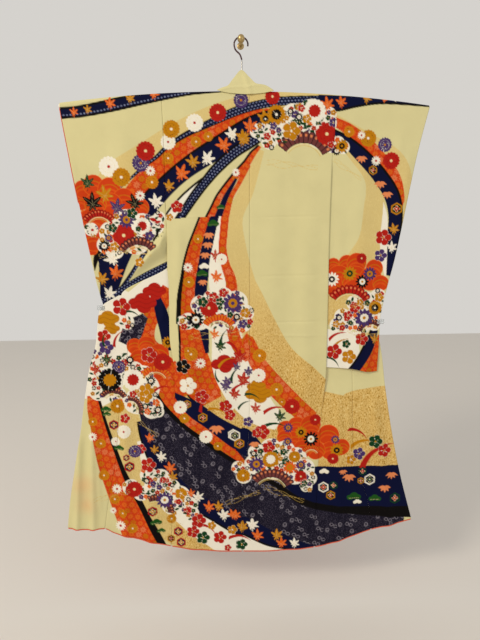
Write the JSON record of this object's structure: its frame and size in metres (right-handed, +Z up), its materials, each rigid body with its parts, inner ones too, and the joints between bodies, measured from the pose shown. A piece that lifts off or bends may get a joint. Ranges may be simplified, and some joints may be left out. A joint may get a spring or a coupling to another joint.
{
  "type": "furisode kimono on a bar hanger and wall hook",
  "caption": "Long-sleeved formal kimono hung flat by its sleeves from a bar hanger, back to the room, with both fronts opened out and the hem swept wide.",
  "frame": {"origin": "centre of the wall hook's plate on the wall's face, the point that holds the whole part up", "axes": "+Z up, +Y into the wall, +X to the right as seen from the room"},
  "size_m": [1.3293, 0.0555, 1.8697],
  "materials": {
    "face_crepe": "fine silk crepe, dyed and gilded ribbon pattern",
    "lining_silk": "smooth silk lining",
    "hanger_plastic": "satin",
    "bright_steel": "bright plated",
    "hook_coating": "dipped coating",
    "brass": "worn polished",
    "clear_plastic": "clear"
  },
  "bodies": {
    "root": {"back_left": "face_crepe", "back_right": "face_crepe", "front_left": "face_crepe", "front_right": "face_crepe", "okumi_left": "face_crepe", "okumi_right": "face_crepe", "sleeve_left_outer": "face_crepe", "sleeve_left_inner": "face_crepe", "sleeve_right_outer": "face_crepe", "sleeve_right_inner": "face_crepe", "collar_back_outer": "face_crepe", "collar_back_inner": "face_crepe", "collar_left": "face_crepe", "collar_right": "face_crepe", "fuki_back_left": "lining_silk", "fuki_back_right": "lining_silk", "fuki_front_left": "lining_silk", "fuki_front_right": "lining_silk", "fuki_okumi_left": "lining_silk", "fuki_okumi_right": "lining_silk", "cuff_roll_left": "lining_silk", "hanger_bar": "hanger_plastic", "hanger_hub": "hanger_plastic", "hanger_stem": "bright_steel", "hanger_hook": "hook_coating", "wall_hook": "brass", "clip_left": "clear_plastic", "clip_right": "clear_plastic"}
  },
  "joints": []
}
